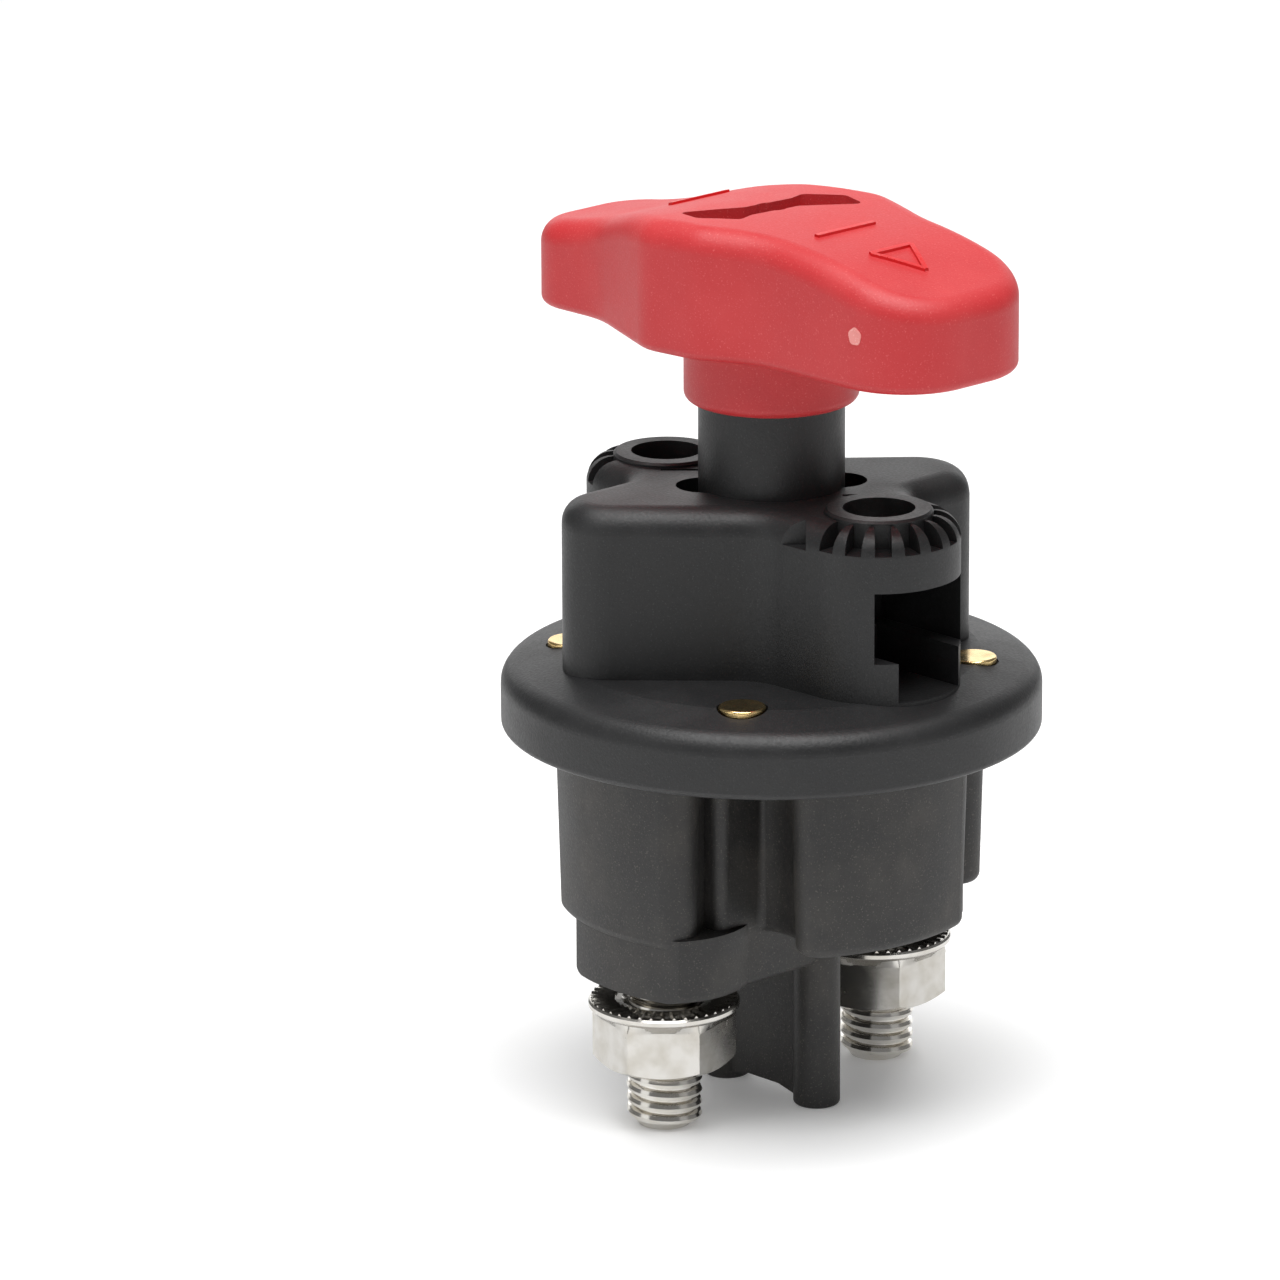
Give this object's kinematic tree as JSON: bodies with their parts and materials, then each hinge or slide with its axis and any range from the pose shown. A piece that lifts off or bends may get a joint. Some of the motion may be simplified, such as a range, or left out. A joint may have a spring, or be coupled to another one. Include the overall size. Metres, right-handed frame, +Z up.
{
  "type": "battery switch",
  "caption": "Sealed rotary battery switch: a knob on a tall stem turns a contact bridge inside a riveted round housing, with screw ears above and threaded terminal studs below.",
  "frame": {"origin": "on the surface that the terminal studs stand on, under the knob's axis", "axes": "+Z up along the knob's axis, X through the terminal studs, Y through the screw ears and along the knob's arms with the switch off"},
  "size_m": [0.0686, 0.0708, 0.1162],
  "materials": {
    "base_plastic": "moulded, fine grain",
    "cover_plastic": "moulded, fine grain",
    "knob_plastic": "moulded, matte",
    "rivet_brass": "polished",
    "stud_plating": "bright plated",
    "nut_plating": "bright plated",
    "contact_copper": "tinned copper",
    "contact_silver": "satin",
    "shaft_steel": "turned",
    "spring_steel": "drawn",
    "screw_steel": "blackened",
    "seal_rubber": "soft",
    "washer_plastic": "natural",
    "rotor_plastic": "moulded"
  },
  "bodies": {
    "housing": {"base_housing": "base_plastic", "cover_housing": "cover_plastic", "housing_gasket": "seal_rubber", "cover_rivets": "rivet_brass", "terminal_stud_left": "stud_plating", "terminal_stud_right": "stud_plating", "contact_bar_left": "contact_copper", "contact_bar_right": "contact_copper", "fixed_contact_pads": "contact_silver", "stud_seals": "seal_rubber", "thrust_washer": "washer_plastic"},
    "turning": {"rotor": "rotor_plastic", "shaft": "shaft_steel", "shaft_seals": "seal_rubber", "knob": "knob_plastic", "knob_screw": "screw_steel", "contact_spring": "spring_steel"},
    "bridge": {"contact_bridge": "contact_copper", "bridge_pads": "contact_silver", "bridge_carrier": "rotor_plastic", "bridge_rivet": "shaft_steel"},
    "nut_left": {"flange_nut_left": "nut_plating"},
    "nut_right": {"flange_nut_right": "nut_plating"}
  },
  "joints": [
    {"name": "knob_turn", "type": "hinge", "parent": "housing", "child": "turning", "pos_m": [0, 0, 0.09], "axis": [0, 0, 1], "range_deg": [-90, 0]},
    {"name": "bridge_lift", "type": "slide", "parent": "turning", "child": "bridge", "axis": [0, 0, 1], "range_m": [-0.002, 0], "deforming": ["contact_spring"]},
    {"name": "nut_left_turn", "type": "hinge", "parent": "housing", "child": "nut_left", "pos_m": [-0.01905, 0, 0.012], "axis": [0, 0, 1], "continuous": true},
    {"name": "nut_right_turn", "type": "hinge", "parent": "housing", "child": "nut_right", "pos_m": [0.01905, 0, 0.012], "axis": [0, 0, 1], "continuous": true}
  ],
  "couplings": [
    {"joint": "bridge_lift", "follows": "knob_turn", "m_per_rad": 0.001242}
  ]
}
